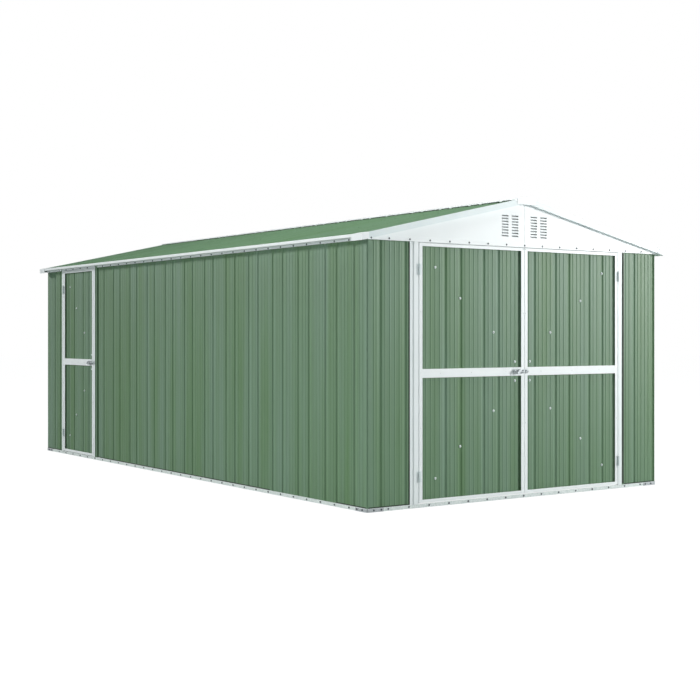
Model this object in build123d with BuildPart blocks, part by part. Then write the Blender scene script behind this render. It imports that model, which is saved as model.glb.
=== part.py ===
"""Metal storage shed with a pair of front doors and one side door.

Folded green steel sheets stand in a galvanised base rail and carry a low gable roof on two
eave rails, a ridge beam and four purlins. White folded trims cover the door posts, the
gables, the verges, the eaves and the ridge. All lengths are in millimetres. X runs across
the shed, Y along it with the front at -Y, and Z up from the ground under its centre.
"""

import math
import os
from dataclasses import dataclass

from build123d import *

# Footprint over the base rails, wall height and roof
shed_width = 3000
shed_length = 6000
wall_top = 1945
corner_radius = 12
roof_angle = 12.5
eave_rise = 40
eave_overhang = 71
verge_overhang = 35

# Folded steel of the rails and trims, and the gap between pieces that are screwed together
steel = 2
seat = 0.3

# Base rail and corner brackets
rail_height = 28
rail_foot = 50
bracket_leg = 150
bracket_steel = 1.5

# Folded sheet of the walls, doors and roof: grooves in pairs, a pair at every period
sheet_steel = 0.6
groove_depth = 9
groove_mouth = 36
groove_floor = 22
groove_period = 375
groove_pair = 149
groove_margin = 2
front_groove_start = -34
side_groove_start = 9

# Top rail under each gable, eave rail along each side, and the two-part gable plates
top_rail_height = 32
eave_rail_lap = 20
eave_rail_flange = 50
gable_joint = 0.6

# Louvre slots, in two columns on each half of a gable plate
slot_width = 67
slot_height = 9
slot_pitch = 22
slot_rows = 8
slot_rise = 82
slot_columns = (98, 201)

# Roof frame
purlin_width = 45
purlin_height = 35
purlin_lines = (480, 980)
ridge_gap = 10

# Trims of the roof
ridge_cap_flange = 100
ridge_cap_lift = 7
barge_drop = 34
eave_trim_drop = 8
eave_trim_lip = 22
eave_sheet_gap = 9
cap_steel = 1.5
corner_cap_length = 130
corner_cap_reach = 62
ridge_end_width = 98
ridge_end_drop = 43
ridge_end_lap = 60

# Doorways: the front one is centred, the side one is in the left wall towards the rear
front_opening = 2086
side_opening = 780
side_opening_inset = 474
post_face = 42
post_lip = 33
post_projection = 8
post_return = 38

# Door leaves: a ring of folded channels with a middle rail and a recessed sheet
door_gap = 7
door_rail_gap = 5
leaf_depth = 28
leaf_steel = 1.5
stile_width = 30
bottom_rail_width = 25
top_rail_width = 24
mid_rail_centre = 982
mid_rail_width = 65
sheet_recess = 12
brace_width = 25
brace_thickness = 4
brace_inset = 30
brace_spread = 50

# Hinges
hinge_height = 80
hinge_inset = 155
hinge_plate_width = 22
hinge_plate_steel = 1.5
knuckle_radius = 6
pin_radius = 3
pin_clearance = 0.3
knuckle_gap = 0.5
axis_proud = 7

# Pad bolts and their keepers
bolt_inset = 6
bolt_plate_length = 112
bolt_plate_height = 40
bolt_radius = 5
bolt_standoff = 10
staple_width = 10
staple_height = 22
handle_width = 20
handle_height = 56
handle_thickness = 6
handle_tilt = 40
keeper_length = 14
keeper_wall = 4
keeper_clearance = 1
keeper_plate_width = 22
keeper_plate_height = 36

# Levels and faces that follow from these
slope = math.tan(math.radians(roof_angle))
half_width = shed_width / 2
half_length = shed_length / 2
roof_apex = wall_top + eave_rise + slope * half_width
sheet_face = steel + seat
gable_face = post_projection + steel
roof_depth = groove_depth + sheet_steel
roof_rise = roof_depth / math.cos(math.radians(roof_angle))
cover_low = roof_rise + seat
cover_high = cover_low + steel
eave_edge = half_width + eave_overhang
verge_edge = half_length + verge_overhang
side_sheet_top = wall_top + eave_rail_lap
leaf_bottom = rail_height + door_rail_gap
bolt_face = post_projection + seat
hinge_depth = -post_projection - axis_proud


def roof_level(x):
    """Height of the roof sheets' underside at a distance x from the ridge line."""
    return roof_apex - slope * abs(x)


def finish(piece, name):
    """Label a finished piece and write it to its own file."""
    piece.part.label = name
    export_step(piece.part, f"parts/{name}.step")
    print(f"{name}: {len(piece.part.solids())} solids, {piece.part.volume / 1000:.1f} cm3")


# Each wall has a frame on its outer face at ground level: x along the wall, y inwards
wall_frames = {
    "front": Plane((0, -half_length, 0), x_dir=(1, 0, 0), z_dir=(0, 0, 1)),
    "back": Plane((0, half_length, 0), x_dir=(-1, 0, 0), z_dir=(0, 0, 1)),
    "left": Plane((-half_width, 0, 0), x_dir=(0, -1, 0), z_dir=(0, 0, 1)),
    "right": Plane((half_width, 0, 0), x_dir=(0, 1, 0), z_dir=(0, 0, 1)),
}
groove_starts = {
    "front": front_groove_start,
    "back": front_groove_start,
    "left": -side_groove_start - groove_pair,
    "right": side_groove_start,
}


def face_plane(frame, depth):
    """Upright plane that looks out of a wall, at a depth measured inwards from its face."""
    origin = frame.from_local_coords(Vector(0, depth, 0))
    return Plane(origin, x_dir=frame.x_dir, z_dir=-frame.y_dir)


def box_between(low, high, mode=Mode.ADD):
    """Sketch rectangle between two corners."""
    centre = ((low[0] + high[0]) / 2, (low[1] + high[1]) / 2)
    with Locations(centre):
        Rectangle(abs(high[0] - low[0]), abs(high[1] - low[1]), mode=mode)


def groove_centres(low, high, start):
    """Middle of each groove that lies whole between low and high."""
    margin = groove_mouth / 2 + groove_margin
    first = math.floor((low - start) / groove_period) - 1
    last = math.ceil((high - start) / groove_period) + 1
    marks = [start + n * groove_period + pair for n in range(first, last + 1) for pair in (0, groove_pair)]
    return sorted(mark for mark in marks if low + margin < mark < high - margin)


def folded_sheet(low, high, face, start):
    """Sketch of a folded sheet's section from low to high, its pans on the line y = face."""
    outer = [(low, face)]
    for centre in groove_centres(low, high, start):
        outer += [
            (centre - groove_mouth / 2, face),
            (centre - groove_floor / 2, face + groove_depth),
            (centre + groove_floor / 2, face + groove_depth),
            (centre + groove_mouth / 2, face),
        ]
    outer.append((high, face))
    inner = [(x, y + sheet_steel) for x, y in reversed(outer)]
    Polygon(*outer, *inner, align=None)


def rounded_ring(outset, thickness):
    """Sketch of a ring that follows the footprint, its outer edge out by outset."""
    radius = corner_radius + outset
    RectangleRounded(shed_width + 2 * outset, shed_length + 2 * outset, radius)
    inner_width = shed_width + 2 * (outset - thickness)
    inner_length = shed_length + 2 * (outset - thickness)
    if radius > thickness:
        RectangleRounded(inner_width, inner_length, radius - thickness, mode=Mode.SUBTRACT)
    else:
        Rectangle(inner_width, inner_length, mode=Mode.SUBTRACT)


def roof_strip(side, near, far, low, high):
    """Sketch of a sloping band, from near to far of the ridge and low to high of the sheets."""
    Polygon(
        (side * near, roof_level(near) + low),
        (side * far, roof_level(far) + low),
        (side * far, roof_level(far) + high),
        (side * near, roof_level(near) + high),
        align=None,
    )


def gable_section(end, distance):
    """Upright plane across the shed at a distance from its middle, looking out of that end."""
    return Plane((0, end * distance, 0), x_dir=(-end, 0, 0), z_dir=(0, end, 0))


# Base rails: an angle that stands on the ground, with the bent corners on the end rails
def base_rail(name, centres, size):
    with BuildPart() as rail:
        for height, width in ((steel, rail_foot), (rail_height, steel)):
            with BuildSketch():
                rounded_ring(0, width)
                with Locations(*centres):
                    Rectangle(*size, mode=Mode.INTERSECT)
            extrude(amount=height)
    finish(rail, name)


os.makedirs("parts", exist_ok=True)

end_rail_middle = half_length - rail_foot / 2
base_rail("base_rail_front", [(0, -end_rail_middle)], (shed_width, rail_foot))
base_rail("base_rail_back", [(0, end_rail_middle)], (shed_width, rail_foot))
side_rail_middle = half_width - rail_foot / 2
side_rail_size = (rail_foot, shed_length - 2 * rail_foot)
base_rail("base_rail_left", [(-side_rail_middle, 0)], side_rail_size)
base_rail("base_rail_right", [(side_rail_middle, 0)], side_rail_size)

# Corner brackets: bent plates on the outside of the base rails
with BuildPart() as base_corner_brackets:
    with BuildSketch():
        rounded_ring(seat + bracket_steel, bracket_steel)
        bracket_x = half_width + seat + bracket_steel - bracket_leg / 2
        bracket_y = half_length + seat + bracket_steel - bracket_leg / 2
        with GridLocations(2 * bracket_x, 2 * bracket_y, 2, 2):
            Rectangle(bracket_leg, bracket_leg, mode=Mode.INTERSECT)
    extrude(amount=rail_height - steel)
finish(base_corner_brackets, "base_corner_brackets")


# Wall sheets: they stand on the base rail's foot, and the end walls turn the corners
def wall_sheet(name, wall, runs, top, corners=()):
    with BuildPart() as sheet:
        for low, high in runs:
            with BuildSketch(wall_frames[wall].offset(steel)):
                folded_sheet(low, high, sheet_face, groove_starts[wall])
            extrude(amount=top - steel)
        for corner_x, corner_y in corners:
            with BuildSketch(Plane.XY.offset(steel)):
                rounded_ring(-sheet_face, sheet_steel)
                with Locations((corner_x * (half_width - corner_radius / 2), 0)):
                    Rectangle(corner_radius, shed_length, mode=Mode.INTERSECT)
                with Locations((0, corner_y * (half_length - corner_radius / 2))):
                    Rectangle(shed_width, corner_radius, mode=Mode.INTERSECT)
            extrude(amount=top - steel)
    finish(sheet, name)


front_turn = half_width - corner_radius
side_turn = half_length - corner_radius
front_jamb = front_opening / 2 + steel + seat
side_door_rear = side_opening_inset - half_length
side_door_front = side_door_rear + side_opening
wall_sheet("front_wall_left", "front", [(-front_turn, -front_jamb)], wall_top, [(-1, -1)])
wall_sheet("front_wall_right", "front", [(front_jamb, front_turn)], wall_top, [(1, -1)])
wall_sheet("back_wall", "back", [(-front_turn, front_turn)], wall_top, [(-1, 1), (1, 1)])
wall_sheet("right_wall", "right", [(-side_turn, side_turn)], side_sheet_top)
left_front_run = (side_door_front + steel + seat, side_turn)
left_rear_run = (-side_turn, side_door_rear - steel - seat)
wall_sheet("left_wall_front", "left", [left_front_run], side_sheet_top)
wall_sheet("left_wall_rear", "left", [left_rear_run], side_sheet_top)


def gable_outline():
    """Sketch of a gable, from the top of the end wall up to the roof sheets."""
    Polygon(
        (-half_width, wall_top),
        (half_width, wall_top),
        (half_width, roof_level(half_width) - seat),
        (0, roof_apex - seat),
        (-half_width, roof_level(half_width) - seat),
        align=None,
    )


# Top rails: an angle across each end, over the wall sheets and under the gable plates
def top_rail(name, end):
    with BuildPart() as rail:
        with BuildSketch(Plane.XY.offset(wall_top)):
            reach = half_width - sheet_face
            box_between((-reach, end * (side_turn + seat)), (reach, end * (half_length + post_projection)))
        extrude(amount=steel)
        with BuildSketch(gable_section(end, half_length + post_projection - steel)):
            gable_outline()
            rail_top = wall_top + top_rail_height
            box_between((-half_width, wall_top), (half_width, rail_top), mode=Mode.INTERSECT)
        extrude(amount=steel)
    finish(rail, name)


top_rail("top_rail_front", -1)
top_rail("top_rail_back", 1)

# Eave rails: an outer strip over the sheets' top edge and a flange that follows the roof
with BuildPart() as eave_rails:
    with BuildSketch(Plane.XZ):
        for side in (-1, 1):
            flange_edge = half_width - eave_rail_flange
            Polygon(
                (side * half_width, wall_top),
                (side * half_width, roof_level(half_width) - seat),
                (side * flange_edge, roof_level(flange_edge) - seat),
                (side * flange_edge, roof_level(flange_edge) - seat - steel),
                (side * (half_width - steel), roof_level(half_width - steel) - seat - steel),
                (side * (half_width - steel), wall_top),
                align=None,
            )
    extrude(amount=half_length, both=True)
finish(eave_rails, "eave_rails")


# Gable plates: two halves that meet at the centre line, each with two columns of slots
def gable_plates(name, end):
    with BuildPart() as plates:
        with BuildSketch(gable_section(end, half_length + post_projection)):
            gable_outline()
            box_between((-gable_joint / 2, wall_top), (gable_joint / 2, roof_apex), mode=Mode.SUBTRACT)
            for side in (-1, 1):
                for column in slot_columns:
                    for row in range(slot_rows):
                        with Locations((side * column, wall_top + slot_rise + row * slot_pitch)):
                            Rectangle(slot_width, slot_height, mode=Mode.SUBTRACT)
        extrude(amount=steel)
    finish(plates, name)


gable_plates("front_gable_plates", -1)
gable_plates("back_gable_plates", 1)

# Roof frame: folded channels from gable to gable, open downwards, just under the sheets
with BuildPart() as roof_beams:
    with BuildSketch(Plane.XZ):
        ridge_top = roof_level(purlin_width / 2) - seat
        with Locations((0, ridge_top - purlin_height / 2)):
            Rectangle(purlin_width, purlin_height)
        with Locations((0, ridge_top - purlin_height / 2 - steel)):
            Rectangle(purlin_width - 2 * steel, purlin_height, mode=Mode.SUBTRACT)
        for side in (-1, 1):
            for line in purlin_lines:
                middle = roof_level(line) - seat - purlin_height / 2 / math.cos(math.radians(roof_angle))
                with Locations(Location((side * line, middle, 0), (0, 0, -side * roof_angle))):
                    Rectangle(purlin_width, purlin_height)
                    with Locations((0, -steel)):
                        Rectangle(purlin_width - 2 * steel, purlin_height, mode=Mode.SUBTRACT)
    extrude(amount=half_length + post_projection - seat, both=True)
finish(roof_beams, "roof_beams")


# Roof sheets: the same folded sheet, its grooves running from the ridge down to the eave
def roof_sheet(name, side, wall):
    slope_run = (eave_edge - eave_sheet_gap - ridge_gap) / math.cos(math.radians(roof_angle))
    down = Vector(side, 0, -slope)
    start = Vector(side * ridge_gap, 0, roof_level(ridge_gap) + roof_rise)
    end_line = verge_edge - steel - seat
    with BuildPart() as sheet:
        with BuildSketch(Plane(start, x_dir=(0, -side, 0), z_dir=down)):
            folded_sheet(-end_line, end_line, 0, groove_starts[wall])
        extrude(amount=slope_run)
    finish(sheet, name)


roof_sheet("roof_left", -1, "right")
roof_sheet("roof_right", 1, "left")

# Ridge cap: a bent strip raised over both sheets, with an edge turned down onto each
with BuildPart() as ridge_cap:
    with BuildSketch(Plane.XZ):
        cap_low = cover_low + ridge_cap_lift
        cap_high = cover_high + ridge_cap_lift
        for side in (-1, 1):
            roof_strip(side, 0, ridge_cap_flange, cap_low, cap_high)
            roof_strip(side, ridge_cap_flange - steel, ridge_cap_flange, cover_low, cap_high)
    extrude(amount=verge_edge, both=True)
finish(ridge_cap, "ridge_cap")

# Eave trims: a face outside the sheets' lower edge, a lip over it and a soffit under it
with BuildPart() as eave_trims:
    with BuildSketch(Plane.XZ):
        trim_bottom = roof_level(eave_edge) - eave_trim_drop
        for side in (-1, 1):
            roof_strip(side, eave_edge - eave_trim_lip, eave_edge, cover_low, cover_high)
            trim_top = roof_level(eave_edge - steel) + cover_high
            box_between((side * (eave_edge - steel), trim_bottom), (side * eave_edge, trim_top - steel))
            soffit_start = (side * (half_width + seat), trim_bottom)
            box_between(soffit_start, (side * eave_edge, trim_bottom + steel))
    extrude(amount=half_length + post_projection + steel, both=True)
finish(eave_trims, "eave_trims")


# Barge boards: a face along each verge, a lip over the sheets and a return to the gable
def barge_boards(name, end):
    lip_start = ridge_cap_flange + seat
    return_reach = verge_overhang - gable_face - seat
    with BuildPart() as boards:
        with BuildSketch(gable_section(end, verge_edge - steel)):
            for side in (-1, 1):
                roof_strip(side, gable_joint / 2, lip_start, -barge_drop, cover_low - seat)
                roof_strip(side, lip_start, eave_edge, -barge_drop, cover_high)
        extrude(amount=steel)
        with BuildSketch(gable_section(end, verge_edge - return_reach)):
            for side in (-1, 1):
                roof_strip(side, lip_start, eave_edge, cover_low, cover_high)
        extrude(amount=return_reach)
        with BuildSketch(gable_section(end, verge_edge - return_reach)):
            for side in (-1, 1):
                roof_strip(side, gable_joint / 2, eave_edge, -barge_drop, steel - barge_drop)
        extrude(amount=return_reach)
    finish(boards, name)


barge_boards("front_barge_boards", -1)
barge_boards("back_barge_boards", 1)

# Ridge end caps: a plate over each end of the ridge, with a short cover on the cap
ridge_lid_low = cap_high + seat
ridge_lid_high = ridge_lid_low + cap_steel
with BuildPart() as ridge_end_caps:
    for end in (-1, 1):
        with BuildSketch(gable_section(end, verge_edge + seat)):
            shoulder = roof_level(ridge_end_width) + ridge_lid_high
            Polygon(
                (-ridge_end_width, roof_apex - ridge_end_drop),
                (ridge_end_width, roof_apex - ridge_end_drop),
                (ridge_end_width, shoulder),
                (0, roof_apex + ridge_lid_high),
                (-ridge_end_width, shoulder),
                align=None,
            )
        extrude(amount=cap_steel)
        with BuildSketch(gable_section(end, verge_edge + seat - ridge_end_lap)):
            for side in (-1, 1):
                roof_strip(side, 0, ridge_end_width, ridge_lid_low, ridge_lid_high)
        extrude(amount=ridge_end_lap)
finish(ridge_end_caps, "ridge_end_caps")

# Eave corner caps: a folded cover over each corner of the roof's edge
lid_low = cover_high + seat
lid_high = lid_low + cap_steel
with BuildPart() as eave_corner_caps:
    cap_edge = eave_edge + seat + cap_steel
    for end in (-1, 1):
        with BuildSketch(gable_section(end, verge_edge + seat)):
            for side in (-1, 1):
                roof_strip(side, eave_edge - corner_cap_reach, cap_edge, -barge_drop, lid_high)
        extrude(amount=cap_steel)
        with BuildSketch(gable_section(end, verge_edge + seat - corner_cap_length)):
            for side in (-1, 1):
                roof_strip(side, eave_edge - corner_cap_reach, cap_edge, lid_low, lid_high)
                roof_strip(side, eave_edge + seat, cap_edge, -barge_drop, lid_high)
        extrude(amount=corner_cap_length)
finish(eave_corner_caps, "eave_corner_caps")


# Door posts: a folded post each side of a doorway, on the base rail, with a return inwards
def door_posts(name, wall, low, high, top, return_top):
    frame = wall_frames[wall]
    post_bottom = rail_height + seat
    with BuildPart() as posts:
        for edge, out in ((low, -1), (high, 1)):
            with BuildSketch(frame.offset(post_bottom)):
                Polygon(
                    (edge, 0),
                    (edge, -post_projection),
                    (edge + out * post_face, -post_projection),
                    (edge + out * post_face, -steel),
                    (edge + out * (post_face + post_lip), -steel),
                    (edge + out * (post_face + post_lip), 0),
                    (edge + out * (post_face - steel), 0),
                    (edge + out * (post_face - steel), steel - post_projection),
                    (edge + out * steel, steel - post_projection),
                    (edge + out * steel, 0),
                    align=None,
                )
            extrude(amount=top - post_bottom)
            with BuildSketch(frame.offset(post_bottom)):
                box_between((edge, -post_projection), (edge + out * steel, post_return))
            extrude(amount=return_top - post_bottom)
    finish(posts, name)


side_post_top = roof_level(eave_edge) - eave_trim_drop - seat
door_posts("front_door_posts", "front", -front_opening / 2, front_opening / 2, wall_top, wall_top)
side_return_top = wall_top - seat
door_posts("side_door_posts", "left", side_door_rear, side_door_front, side_post_top, side_return_top)


@dataclass
class Door:
    """A leaf between low and high along its wall; hinge is -1 or 1 for its low or high edge."""

    name: str
    wall: str
    low: float
    high: float
    top: float
    hinge: int

    @property
    def frame(self):
        return wall_frames[self.wall]

    @property
    def hinge_axis(self):
        edge = self.low if self.hinge < 0 else self.high
        return edge + self.hinge * door_gap / 2

    def from_hinge(self, distance):
        edge = self.low if self.hinge < 0 else self.high
        return edge - self.hinge * distance

    def from_latch(self, distance):
        edge = self.high if self.hinge < 0 else self.low
        return edge + self.hinge * distance


def leaf_outline(door, inset):
    """Sketch of a leaf's outer edge, drawn in by an inset."""
    box_between((door.low + inset, leaf_bottom + inset), (door.high - inset, door.top - inset))


def leaf_windows(door):
    """Cut the two panels of a leaf out of the sketch, above and below its middle rail."""
    low = door.low + stile_width
    high = door.high - stile_width
    mid_low = mid_rail_centre - mid_rail_width / 2
    mid_high = mid_rail_centre + mid_rail_width / 2
    box_between((low, leaf_bottom + bottom_rail_width), (high, mid_low), mode=Mode.SUBTRACT)
    box_between((low, mid_high), (high, door.top - top_rail_width), mode=Mode.SUBTRACT)


# Leaf frame: channels with their mouths towards the panel, and a middle rail on the front
def leaf_frame(door):
    front = -post_projection
    with BuildPart() as frame:
        for depth in (front, front + leaf_depth - leaf_steel):
            with BuildSketch(face_plane(door.frame, depth)):
                leaf_outline(door, 0)
                leaf_windows(door)
            extrude(amount=-leaf_steel)
        with BuildSketch(face_plane(door.frame, front)):
            leaf_outline(door, 0)
            inner_low = (door.low + leaf_steel, leaf_bottom + leaf_steel)
            inner_high = (door.high - leaf_steel, door.top - leaf_steel)
            box_between(inner_low, inner_high, mode=Mode.SUBTRACT)
        extrude(amount=-leaf_depth)
        with BuildSketch(face_plane(door.frame, front)):
            for edge in (-1, 1):
                flange = mid_rail_centre + edge * (mid_rail_width - leaf_steel) / 2
                flange_low = (door.low + stile_width, flange - leaf_steel / 2)
                box_between(flange_low, (door.high - stile_width, flange + leaf_steel / 2))
        extrude(amount=seat - sheet_recess)
    finish(frame, f"{door.name}_frame")


# Leaf sheet: the folded sheet, held all round inside the channels
def leaf_sheet(door):
    edge = leaf_steel + seat
    with BuildPart() as sheet:
        with BuildSketch(door.frame.offset(leaf_bottom + edge)):
            face = sheet_recess - post_projection
            folded_sheet(door.low + edge, door.high - edge, face, groove_starts[door.wall])
        extrude(amount=door.top - leaf_bottom - 2 * edge)
    finish(sheet, f"{door.name}_sheet")


# Leaf braces: flat bars behind the sheet, from the hinge corners to the latch side's middle
def leaf_braces(door):
    back = leaf_depth - post_projection - leaf_steel - seat
    with BuildPart() as braces:
        for corner, edge in ((door.top - brace_inset, 1), (leaf_bottom + brace_inset, -1)):
            outer = Vector(door.from_hinge(brace_inset), corner)
            inner = Vector(door.from_latch(brace_inset), mid_rail_centre + edge * brace_spread)
            run = outer - inner
            angle = math.degrees(math.atan2(run.Y, run.X))
            middle = (outer + inner) / 2
            with BuildSketch(face_plane(door.frame, back)):
                with Locations(Location((middle.X, middle.Y, 0), (0, 0, angle))):
                    Rectangle(run.length, brace_width)
            extrude(amount=brace_thickness)
    finish(braces, f"{door.name}_braces")


def hinge_levels(door):
    """Underside of each hinge of a leaf."""
    return (leaf_bottom + hinge_inset, door.top - hinge_inset - hinge_height)


knuckle_height = (hinge_height - 2 * knuckle_gap) / 3
plate_front = -post_projection - seat - hinge_plate_steel


def hinge_plate(axis, away, reach, start):
    """Sketch of a hinge plate's section, from start to reach away from the axis."""
    box_between((axis + away * start, plate_front), (axis + away * reach, plate_front + hinge_plate_steel))


# Fixed hinge halves: a plate on the post, a knuckle at each end and the pin through them
def post_hinges(doors):
    with BuildPart() as halves:
        for door in doors:
            axis = door.hinge_axis
            for level in hinge_levels(door):
                with BuildSketch(door.frame.offset(level)):
                    with Locations((axis, hinge_depth)):
                        Circle(pin_radius)
                extrude(amount=hinge_height)
                for end in (level, level + hinge_height - knuckle_height):
                    with BuildSketch(door.frame.offset(end)):
                        with Locations((axis, hinge_depth)):
                            Circle(knuckle_radius)
                        hinge_plate(axis, door.hinge, hinge_plate_width, 0)
                    extrude(amount=knuckle_height)
                with BuildSketch(door.frame.offset(level)):
                    hinge_plate(axis, door.hinge, hinge_plate_width, knuckle_radius + 1)
                extrude(amount=hinge_height)
    finish(halves, "post_hinges")


# Moving hinge halves: a plate on the leaf and the middle knuckle, bored for the pin
def leaf_hinges(door):
    axis = door.hinge_axis
    with BuildPart() as halves:
        for level in hinge_levels(door):
            with BuildSketch(door.frame.offset(level)):
                hinge_plate(axis, -door.hinge, hinge_plate_width, knuckle_radius + 1)
            extrude(amount=hinge_height)
            with BuildSketch(door.frame.offset(level + knuckle_height + knuckle_gap)):
                with Locations((axis, hinge_depth)):
                    Circle(knuckle_radius)
                hinge_plate(axis, -door.hinge, hinge_plate_width, 0)
                with Locations((axis, hinge_depth)):
                    Circle(pin_radius + pin_clearance, mode=Mode.SUBTRACT)
            extrude(amount=knuckle_height)
    finish(halves, f"{door.name}_hinges")


bolt_depth = -bolt_face - steel - bolt_standoff


def across(frame, along, depth):
    """Upright plane square to a wall, at a place along it and a depth behind its face."""
    origin = frame.from_local_coords(Vector(along, depth, mid_rail_centre))
    return Plane(origin, x_dir=frame.y_dir, z_dir=frame.x_dir)


# Pad bolt: a plate on the middle rail, two staples, the drawn-back bolt and its handle
def pad_bolt(door):
    rail_plane = face_plane(door.frame, -bolt_face)
    near = door.from_latch(bolt_inset)
    far = door.from_latch(bolt_inset + bolt_plate_length)
    middle = (near + far) / 2
    with BuildPart() as bolt:
        with BuildSketch(rail_plane):
            with Locations((middle, mid_rail_centre)):
                Rectangle(bolt_plate_length, bolt_plate_height)
        extrude(amount=steel)
        with BuildSketch(across(door.frame, min(near, far), bolt_depth)):
            Circle(bolt_radius)
        extrude(amount=bolt_plate_length)
        with BuildSketch(rail_plane):
            for place in (bolt_inset + staple_width, bolt_inset + bolt_plate_length - staple_width):
                with Locations((door.from_latch(place), mid_rail_centre)):
                    Rectangle(staple_width, staple_height)
        extrude(amount=steel + bolt_standoff + bolt_radius + steel)
        with BuildSketch(face_plane(door.frame, bolt_depth - bolt_radius + steel)):
            with Locations(Location((middle, mid_rail_centre, 0), (0, 0, handle_tilt))):
                SlotOverall(handle_height, handle_width)
        extrude(amount=handle_thickness)
    finish(bolt, f"{door.name}_bolt")


# Keeper: a plate with a short tube that takes the end of a pad bolt
def keeper(name, frame, near, away):
    middle = near + away * keeper_plate_width / 2
    with BuildPart() as holder:
        with BuildSketch(face_plane(frame, -bolt_face)):
            with Locations((middle, mid_rail_centre)):
                Rectangle(keeper_plate_width, keeper_plate_height)
        extrude(amount=steel)
        with BuildSketch(across(frame, middle - keeper_length / 2, bolt_depth)):
            outer = bolt_radius + keeper_clearance + keeper_wall
            Circle(outer)
            box_between((0, -outer), (bolt_standoff + steel / 2, outer))
            Circle(bolt_radius + keeper_clearance, mode=Mode.SUBTRACT)
        extrude(amount=keeper_length)
    finish(holder, name)


front_leaf_top = wall_top - door_rail_gap
front_edge = front_opening / 2 - door_gap
front_doors = [
    Door("front_left_door", "front", -front_edge, -door_gap / 2, front_leaf_top, -1),
    Door("front_right_door", "front", door_gap / 2, front_edge, front_leaf_top, 1),
]
side_leaf_top = wall_top - door_rail_gap
side_door = Door(
    "side_door", "left", side_door_rear + door_gap, side_door_front - door_gap, side_leaf_top, -1
)
for door in (*front_doors, side_door):
    leaf_frame(door)
    leaf_sheet(door)
    leaf_braces(door)
    leaf_hinges(door)
post_hinges((*front_doors, side_door))
pad_bolt(front_doors[0])
pad_bolt(side_door)
keeper_inset = (stile_width - keeper_plate_width) / 2
keeper("front_right_door_keeper", wall_frames["front"], front_doors[1].from_latch(keeper_inset), 1)
keeper("side_door_keeper", wall_frames["left"], side_door_front + keeper_inset, 1)
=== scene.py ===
# %% [markdown]
# # A folded steel storage shed
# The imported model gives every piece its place. This file gives the pieces their finish: the
# rolled sheets with their soft folds, the painted and galvanised steel, and the small
# fasteners. All lengths are in metres, X runs across the shed, Y along it and Z up.

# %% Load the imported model
import math

import bmesh
import bpy
from mathutils import Matrix, Vector


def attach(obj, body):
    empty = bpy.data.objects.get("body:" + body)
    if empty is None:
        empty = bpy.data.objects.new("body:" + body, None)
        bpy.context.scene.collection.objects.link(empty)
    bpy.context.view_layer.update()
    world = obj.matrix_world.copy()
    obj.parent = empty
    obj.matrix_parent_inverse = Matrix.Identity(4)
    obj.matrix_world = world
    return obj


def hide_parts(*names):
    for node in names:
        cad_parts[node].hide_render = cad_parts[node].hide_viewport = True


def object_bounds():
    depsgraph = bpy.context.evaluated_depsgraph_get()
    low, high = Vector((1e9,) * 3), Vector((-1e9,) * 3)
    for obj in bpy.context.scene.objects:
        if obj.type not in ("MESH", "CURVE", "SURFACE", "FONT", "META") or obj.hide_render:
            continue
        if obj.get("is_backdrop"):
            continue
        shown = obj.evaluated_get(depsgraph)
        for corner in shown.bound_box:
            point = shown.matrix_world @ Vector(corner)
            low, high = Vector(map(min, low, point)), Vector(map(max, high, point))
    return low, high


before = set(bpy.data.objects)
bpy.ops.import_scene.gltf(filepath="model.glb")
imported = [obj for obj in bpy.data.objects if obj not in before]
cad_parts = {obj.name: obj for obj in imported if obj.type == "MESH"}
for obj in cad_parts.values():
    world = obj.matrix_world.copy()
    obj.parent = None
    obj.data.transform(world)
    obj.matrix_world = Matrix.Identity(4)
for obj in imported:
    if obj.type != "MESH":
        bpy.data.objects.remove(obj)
cad_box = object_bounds()
scene = bpy.context.scene

# %% [markdown]
# ## Main sizes
# The folded sheets and trims are made again here with more detail, so their sizes repeat
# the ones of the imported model. A few short names keep the later cells easy to read.

# %% Sizes that several cells use
half_width = 1.5
half_length = 3.0
wall_top = 1.945
side_sheet_top = 1.965
roof_angle = math.radians(12.5)
slope = math.tan(roof_angle)
roof_apex = wall_top + 0.040 + slope * half_width
steel = 0.002
sheet_steel = 0.0006
sheet_face = 0.0023
corner_radius = 0.012
groove_depth = 0.009
groove_pair = 0.149
period = 0.375
screw_pitch = period / 2
post_projection = 0.008
gable_face = post_projection + steel
roof_rise = (groove_depth + sheet_steel) / math.cos(roof_angle)
eave_edge = half_width + 0.071
verge_edge = half_length + 0.035
front_opening_half = 1.043
side_door_rear = -2.526
side_door_front = -1.746
mid_rail = 0.982
leaf_bottom = 0.033
leaf_top = 1.940
leaf_sheet_face = 0.004
ridge_gap = 0.010
gap = 0.0003
rail_screw_level = 0.0145


def roof_level(x):
    """Height of the underside of the roof sheets at a distance x from the ridge."""
    return roof_apex - slope * abs(x)


print("ridge at", round(roof_apex, 3))

# %% [markdown]
# Each wall has its own frame: first number along the wall, second number inwards from the
# outer face, third number up. A matrix turns these three numbers into a place in the scene,
# so one recipe serves all four walls. The two roof slopes get such a frame too.

# %% Frames of the walls and roof slopes
def make_frame(along, inwards, up, origin):
    """Matrix whose columns are the three directions and the origin."""
    columns = [Vector(along).normalized(), Vector(inwards).normalized(), Vector(up).normalized()]
    matrix = Matrix.Identity(4)
    for index, column in enumerate([*columns, Vector(origin)]):
        for row in range(3):
            matrix[row][index] = column[row]
    return matrix


def roof_frame(side):
    """Frame on top of a roof sheet: along the ridge, into the shed, down the slope."""
    origin = (side * ridge_gap, 0, roof_level(ridge_gap) + roof_rise)
    return make_frame((0, -side, 0), (-side * slope, 0, -1), (side, 0, -slope), origin)


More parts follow.
